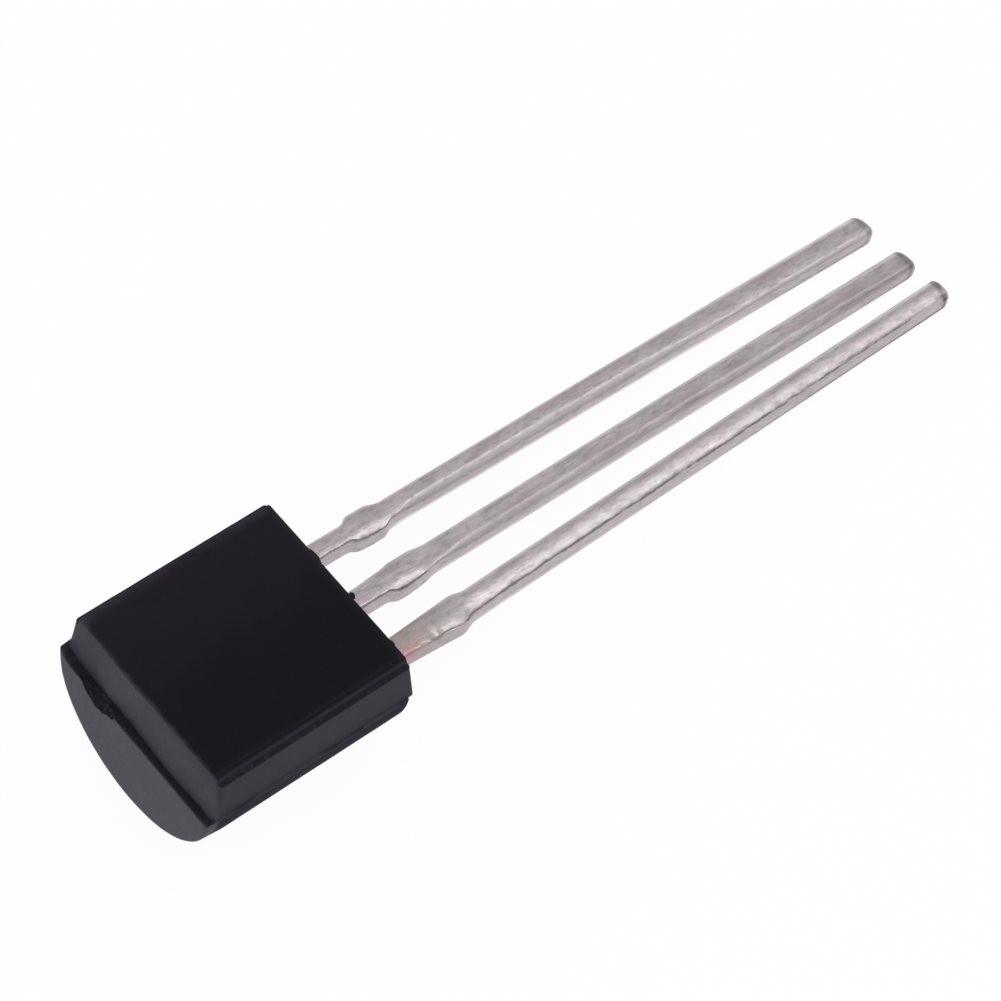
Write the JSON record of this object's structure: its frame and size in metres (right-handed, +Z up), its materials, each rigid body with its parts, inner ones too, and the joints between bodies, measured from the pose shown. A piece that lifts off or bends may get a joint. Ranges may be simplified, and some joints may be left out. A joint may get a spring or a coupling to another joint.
{
  "type": "transistor",
  "caption": "Small-signal transistor in a D-shaped moulded plastic case, with a raised marking flat, a round back and straight flat leads in a row.",
  "frame": {"origin": "on the bench under the middle of the part's bounding box, as it lies on the round back's lead-end edge and the longest lead's tip", "axes": "+Z up, out of the bench; +Y along the part towards the lead tips; +X across the case, from the emitter lead to the base lead, with the marking flat facing up"},
  "size_m": [0.0046, 0.0194, 0.0038],
  "materials": {
    "epoxy": "fine-grained matt moulding, smoother on the marking flat",
    "tinned_lead": "dull hot-dipped tin with fine lengthwise scratches",
    "silicon": "polished",
    "adhesive": "silver-filled, matt",
    "gold_wire": "drawn"
  },
  "bodies": {
    "root": {"moulded_case": "epoxy", "lead_emitter": "tinned_lead", "lead_collector": "tinned_lead", "lead_base": "tinned_lead", "silicon_die": "silicon", "die_attach": "adhesive", "bond_wire_emitter": "gold_wire", "bond_wire_base": "gold_wire"}
  },
  "joints": []
}
